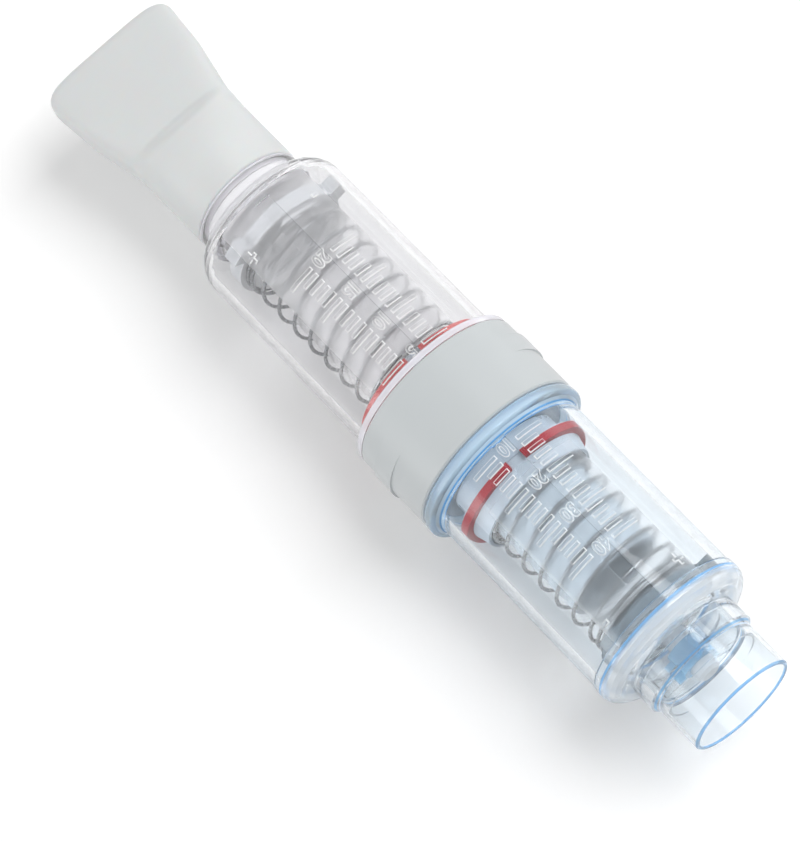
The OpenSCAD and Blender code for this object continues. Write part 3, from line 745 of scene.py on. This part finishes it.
def add_mouthpiece():
    """The soft mouthpiece with smooth sides, in place of the solid made of facets."""
    loops = lip_sections() + taper_sections(0) + rise_sections()
    for x, r in ((X_SLEEVE - SLEEVE_EDGE, SLEEVE_R), (X_SLEEVE, SLEEVE_R - SLEEVE_EDGE),
                 (X_SLEEVE, SPIGOT_R), (X_SPIGOT, SPIGOT_R), (X_SPIGOT, SPIGOT_BORE_R)):
        loops.append(section(x, r, r, ROUND_POWER))
    loops += reversed(taper_sections(MOUTH_WALL))
    loops += bore_sections()
    bm = bmesh.new()
    endless_skin(bm, [[bm.verts.new(p) for p in loop] for loop in loops])
    soft = piece("soft_mouthpiece", mesh_of("soft_mouthpiece", bm, MOUTH_SHARP), "mouthpiece",
                 "soft_grey")
    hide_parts("mouthpiece")


# Springs

WIRE_R = 0.4
SPRING_GAP = 0.9
COIL_GAP = 0.45
COIL_PITCH = 4.8
SEAT_LIFT = 0.02
PEP_CLOSED_TURNS = 1.5
IMT_CLOSED_TURNS = 2.5
COIL_R = CORE_R + SPRING_GAP + WIRE_R
CLOSED_PITCH = 2 * WIRE_R + COIL_GAP
DISC_T = 3.2
SEAL_BED = 0.4
X_PEP_DISC = X_PEP_SEAL - SEAL_BED + DISC_T
X_IMT_DISC = X_IMT_SEAL + SEAL_BED - DISC_T
RINGS_PER_TURN = 40
WIRE_SIDES = 12
WIRE_SHARP = 60


def coil_place(t, closed, open_turns):
    """Place along the axis after t turns, closed at both ends."""
    if t < closed:
        return t * CLOSED_PITCH
    if t < closed + open_turns:
        return closed * CLOSED_PITCH + (t - closed) * COIL_PITCH
    return (closed * CLOSED_PITCH + open_turns * COIL_PITCH
            + (t - closed - open_turns) * CLOSED_PITCH)


def spring_mesh(name, x0, x1, closed):
    """A smooth coil of wire between two seats."""
    length = x1 - x0 - 2 * WIRE_R - 2 * SEAT_LIFT
    open_turns = (length - 2 * closed * CLOSED_PITCH) / COIL_PITCH
    turns = 2 * closed + open_turns
    count = math.ceil(turns * RINGS_PER_TURN)
    centres = []
    for i in range(count + 1):
        t = turns * i / count
        place = x0 + WIRE_R + SEAT_LIFT + coil_place(t, closed, open_turns)
        centres.append(Vector(on_barrel(place, TURN * t, COIL_R)))
    bm = bmesh.new()
    rings = []
    for i, p in enumerate(centres):
        run = centres[min(i + 1, count)] - centres[max(i - 1, 0)]
        out = Vector((0, p.y, p.z)).normalized()
        side = run.normalized().cross(out)
        rings.append([bm.verts.new(p + WIRE_R * (math.cos(b) * out + math.sin(b) * side))
                      for b in (TURN * k / WIRE_SIDES for k in range(WIRE_SIDES))])
    capped_skin(bm, rings)
    return mesh_of(name, bm, WIRE_SHARP)


def add_springs():
    """Both springs, each coiled between its disc and its seat."""
    for side, x0, x1, closed, anchor in (
            ("pep", X_PEP_DISC, X_PEP_SEAT, PEP_CLOSED_TURNS, X_PEP_DISC),
            ("imt", X_IMT_SEAT, X_IMT_DISC, IMT_CLOSED_TURNS, X_IMT_DISC)):
        name = f"{side}_spring_wire"
        coil = piece(name, spring_mesh(name, x0, x1, closed), f"{side}_valve", "steel")
        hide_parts(f"{side}_spring")
        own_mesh(coil)


# Lead screw core

STARTS = 6
LEAD = 30.0
GROOVE_DEEP = 0.55
GROOVE_SHARE = 0.42
FLANK_SHARE = 0.08
THREAD_STEP = 0.5
THREAD_END = 1.2
CORE_WALL = 1.8
CORE_BORE_R = CORE_R - CORE_WALL
CORE_EDGE = 0.3
CORE_STEPS = 240
CORE_SHARP = 30
WEB_T = 4.0
WEB_R = span("lead_screw_core", "z")[1]
X_WEB = beside(X_MID, -WEB_T / 2, WEB_T / 2)
DRUM_GAP = 0.7
BORE_GAP = 0.3
DRUM_R = BORE_R - BORE_GAP
X_DRUM = (span("pep_traveller")[1] + DRUM_GAP, span("imt_traveller")[0] - DRUM_GAP)
O_RING_D = 1.35
SOFT_GAP = 0.1
O_RING_HALF = O_RING_D / 2 + SOFT_GAP
O_RING_BED = 1.2
KEY_COUNT = 3
KEY_TURN = math.radians(60)
KEY_W = 3.0
KEY_H = 1.1


def thread_radius(x, angle):
    """Radius of the screw, whose steep grooves start side by side around the core."""
    phase = (x / LEAD - angle / TURN) * STARTS % 1.0
    near = abs(phase - 0.5)
    depth = min(1.0, max(0.0, (GROOVE_SHARE / 2 + FLANK_SHARE - near) / FLANK_SHARE))
    return CORE_R - GROOVE_DEEP * depth


def screw_run(x0, x1):
    """Profile points between two places, with no radius where the screw gives it."""
    count = round((x1 - x0) / THREAD_STEP)
    return [(x0 + (x1 - x0) * i / count, None) for i in range(count + 1)]


def ring_groove(x):
    """Profile points of the groove for an O-ring in the drum."""
    low = DRUM_R - O_RING_BED
    return [(x - O_RING_HALF, DRUM_R), (x - O_RING_HALF, low),
            (x + O_RING_HALF, low), (x + O_RING_HALF, DRUM_R)]


def core_profile():
    """The closed profile of the core, from the mouth to the outlet."""
    x_in, x_out = X_CORE
    profile = [(x_in, CORE_BORE_R), (x_in, CORE_R - CORE_EDGE), (x_in + CORE_EDGE, CORE_R)]
    profile += screw_run(x_in + THREAD_END, X_DRUM[0] - THREAD_END)
    profile += [(X_DRUM[0], CORE_R), (X_DRUM[0], DRUM_R)]
    profile += ring_groove(middle("pep_o_ring"))
    profile += [(X_WEB[0], DRUM_R), (X_WEB[0], WEB_R), (X_WEB[1], WEB_R), (X_WEB[1], DRUM_R)]
    profile += ring_groove(middle("imt_o_ring"))
    profile += [(X_DRUM[1], DRUM_R), (X_DRUM[1], CORE_R)]
    profile += screw_run(X_DRUM[1] + THREAD_END, x_out - THREAD_END)
    profile += [(x_out - CORE_EDGE, CORE_R), (x_out, CORE_R - CORE_EDGE), (x_out, CORE_BORE_R)]
    return profile


def add_core():
    """The core with its steep screw, in place of the plain solid."""
    bm = bmesh.new()
    profile = core_profile()
    rings = []
    for i in range(CORE_STEPS):
        angle = TURN * i / CORE_STEPS
        ring = []
        for x, r in profile:
            radius = thread_radius(x, angle) if r is None else r
            ring.append(bm.verts.new(on_barrel(x, angle, radius)))
        rings.append(ring)
    endless_skin(bm, rings)
    for i in range(KEY_COUNT):
        box(bm, X_WEB, KEY_W, (WEB_R - KEY_H, WEB_R + KEY_H), KEY_TURN + TURN * i / KEY_COUNT)
    core = piece("screw_core", mesh_of("screw_core", bm, CORE_SHARP), "root", "core_grey")
    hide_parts("lead_screw_core")


# Scales

MARK_H = 0.28
MARK_SINK = 0.02
MARK_W = 1.0
MARK_CHAMFER = 0.18
MARK_SHARP = 30
BAR_STEP = 3.0
TICK_STEP = 1.82
TICKS_PER_NUMBER = 5
TICK_FROM = 8.5
TICK_TO = 21.0
LONG_TO = 28.5
NUMBER_SIZE = 4.3
NUMBER_NARROW = 0.78
SIGN_SIZE = 5.5
OFFSET_SHARE = 0.25
LETTER_SPACE = 0.95
CURVE_STEPS = 6
MERGE_DISTANCE = 1e-4
# Each sign has its place along the axis and its angle from the number line, in degrees
PEP_SCALE = dict(numbers=("20", "15", "10", "5"), x_first=-118.8,
                 signs=(("+", -130.0, 32.0), ("-", -131.0, -28.0)))
IMT_SCALE = dict(numbers=("10", "20", "30", "40"), x_first=-64.0,
                 signs=(("-", -25.8, 32.0), ("+", -25.6, -30.0)))


def wrapped_bar(bm, x_mid, a0, a1, radius):
    """A raised bar around the barrel, from one angle in degrees to another."""
    steps = max(2, round(abs(a1 - a0) / BAR_STEP))
    rim = math.degrees(MARK_CHAMFER / radius) * (1 if a1 > a0 else -1)
    low, high = radius - MARK_SINK, radius + MARK_H
    shoulder = high - MARK_CHAMFER
    half, top_half = MARK_W / 2, MARK_W / 2 - MARK_CHAMFER
    outline = [(-half, low), (-half, shoulder), (-top_half, high), (top_half, high),
               (half, shoulder), (half, low)]
    angles = [a0, a0 + rim]
    angles += [a0 + (a1 - a0) * i / steps for i in range(1, steps)]
    angles += [a1 - rim, a1]
    rings = []
    for angle in angles:
        top = shoulder if angle in (a0, a1) else high
        rings.append([bm.verts.new(on_barrel(x_mid + x, math.radians(angle), min(r, top)))
                      for x, r in outline])
    capped_skin(bm, rings)


def flat_text(text, size):
    """A mesh of raised text that lies flat, its edges slanted."""
    curve = bpy.data.curves.new("text", "FONT")
    curve.body = text
    curve.size = size
    curve.align_x = "CENTER"
    curve.align_y = "CENTER"
    curve.extrude = MARK_H - MARK_CHAMFER
    curve.bevel_depth = MARK_CHAMFER
    curve.offset = MARK_CHAMFER * OFFSET_SHARE
    curve.bevel_resolution = 0
    curve.resolution_u = CURVE_STEPS
    curve.space_character = LETTER_SPACE
    holder = bpy.data.objects.new("text", curve)
    bpy.context.scene.collection.objects.link(holder)
    bpy.context.view_layer.update()
    graph = bpy.context.evaluated_depsgraph_get()
    flat = bpy.data.meshes.new_from_object(holder.evaluated_get(graph))
    bpy.data.objects.remove(holder)
    bpy.data.curves.remove(curve)
    return flat


def wrapped_text(bm, text, x_mid, angle, size, radius):
    """Raised text around the barrel, read across the axis, its top towards the outlet."""
    flat = flat_text(text, size)
    heights = [v.co.y for v in flat.vertices]
    centre = (max(heights) + min(heights)) / 2
    for v in flat.vertices:
        a = math.radians(angle) + v.co.x * NUMBER_NARROW / radius
        v.co = on_barrel(x_mid + v.co.y - centre, a, radius + max(v.co.z, -MARK_SINK))
    bm.from_mesh(flat)
    bpy.data.meshes.remove(flat)


def add_scale(side, radius, slot, material, numbers, x_first, signs):
    """Ticks, numbers and signs of a barrel, from the first number towards the outlet."""
    body = f"{side}_barrel"
    bm = bmesh.new()
    for i in range(TICKS_PER_NUMBER * (len(numbers) - 1) + 1):
        far = LONG_TO if i % TICKS_PER_NUMBER == 0 else TICK_TO
        for way in (-1, 1):
            wrapped_bar(bm, x_first + TICK_STEP * i, way * TICK_FROM, way * far, radius)
    name = f"{side}_ticks"
    piece(name, mesh_of(name, bm, MARK_SHARP), body, slot, material)
    bm = bmesh.new()
    for i, number in enumerate(numbers):
        place = x_first + TICKS_PER_NUMBER * TICK_STEP * i
        wrapped_text(bm, number, place, 0, NUMBER_SIZE, radius)
    for text, x, angle in signs:
        wrapped_text(bm, text, x, angle, SIGN_SIZE, radius)
    bmesh.ops.remove_doubles(bm, verts=bm.verts, dist=MERGE_DISTANCE)
    name = f"{side}_numbers"
    piece(name, mesh_of(name, bm, MARK_SHARP), body, slot, material)


# Stage, in metres

WHITE = (1, 1, 1)
FLOOR_REACH = 3.0
FLOOR_X = -0.1
FLOOR_Z = round(cad_box[0].z / MM, DECIMALS) * MM
FLOOR_BOUNCE = (0.75, 0.75, 0.75)
FLOOR_SEEN = (0.95, 0.95, 0.95)
FLOOR_LIFT = 0.11
FLOOR_NEAR = 0.25
FLOOR_FAR = 0.9
AMBIENT = 0.36
LAMP_AIM = Vector((-0.09, 0, 0))
LAMPS = (
    dict(name="key", place=(0.0, 0.42, 0.66), size=0.5, power=4.4),
    dict(name="fill", place=(-0.35, -0.4, 0.6), size=0.8, power=0.8),
    dict(name="low_left", place=(-0.1, -1.0, 0.08), size=0.8, power=7.0),
    dict(name="low_right", place=(-0.1, 1.0, 0.08), size=0.8, power=2.6),
)


def seen_directly(tree):
    """1 for rays from the camera, a reflection or clear plastic, and 0 for other rays."""
    rays = add(tree, "ShaderNodeLightPath").outputs
    return math_node(tree, "MAXIMUM", rays["Is Camera Ray"], math_node(
        tree, "MAXIMUM", rays["Is Glossy Ray"], rays["Is Transmission Ray"]))


def floor_material():
    """Pale paper that keeps the shadow, and turns white away from the object."""
    material, tree, shader, _ = new_material("floor")
    seen = seen_directly(tree)
    place = add(tree, "ShaderNodeTexCoord").outputs["Object"]
    away = add(tree, "ShaderNodeVectorMath", place, operation="LENGTH").outputs["Value"]
    lift = ramp_between(tree, away, FLOOR_NEAR, FLOOR_FAR, FLOOR_LIFT, 1.0)
    feed(tree, shader, Base_Color=mixed(tree, seen, FLOOR_BOUNCE, FLOOR_SEEN), Roughness=1.0,
         Specular_IOR_Level=0.0, Emission_Color=WHITE,
         Emission_Strength=math_node(tree, "MULTIPLY", seen, lift))
    return material


def add_floor():
    """The floor under the object, which isn't part of it."""
    bm = bmesh.new()
    bmesh.ops.create_grid(bm, x_segments=1, y_segments=1, size=FLOOR_REACH)
    bmesh.ops.translate(bm, vec=(FLOOR_X, 0, FLOOR_Z), verts=bm.verts)
    mesh = bpy.data.meshes.new("floor")
    bm.to_mesh(mesh)
    bm.free()
    floor = bpy.data.objects.new("floor", mesh)
    bpy.context.scene.collection.objects.link(floor)
    mesh.materials.append(floor_material())


def add_world():
    """A white world, seen at full strength and lighting the object with less."""
    world = bpy.data.worlds.new("world")
    bpy.context.scene.world = world
    world.use_nodes = True
    tree = world.node_tree
    strength = math_node(tree, "MULTIPLY_ADD", seen_directly(tree), 1.0 - AMBIENT, AMBIENT)
    feed(tree, tree.nodes["Background"], Color=WHITE, Strength=strength)


def add_lamp(name, place, size, power):
    """A square soft lamp that looks at the middle of the object."""
    data = bpy.data.lights.new(name, "AREA")
    data.size = size
    data.energy = power
    lamp = bpy.data.objects.new(name, data)
    lamp.location = place
    lamp.rotation_euler = (LAMP_AIM - Vector(place)).to_track_quat("-Z", "Y").to_euler()
    bpy.context.scene.collection.objects.link(lamp)


# Putting it together

place_camera()
finish_nodes()
add_mouthpiece()
add_springs()
add_core()
add_scale("pep", PEP_R, "clear_plastic", "clear_mark", **PEP_SCALE)
add_scale("imt", IMT_R, "blue_plastic", "blue_mark", **IMT_SCALE)
add_floor()
add_world()
for lamp in LAMPS:
    add_lamp(**lamp)

bpy.context.scene.view_settings.view_transform = "Standard"
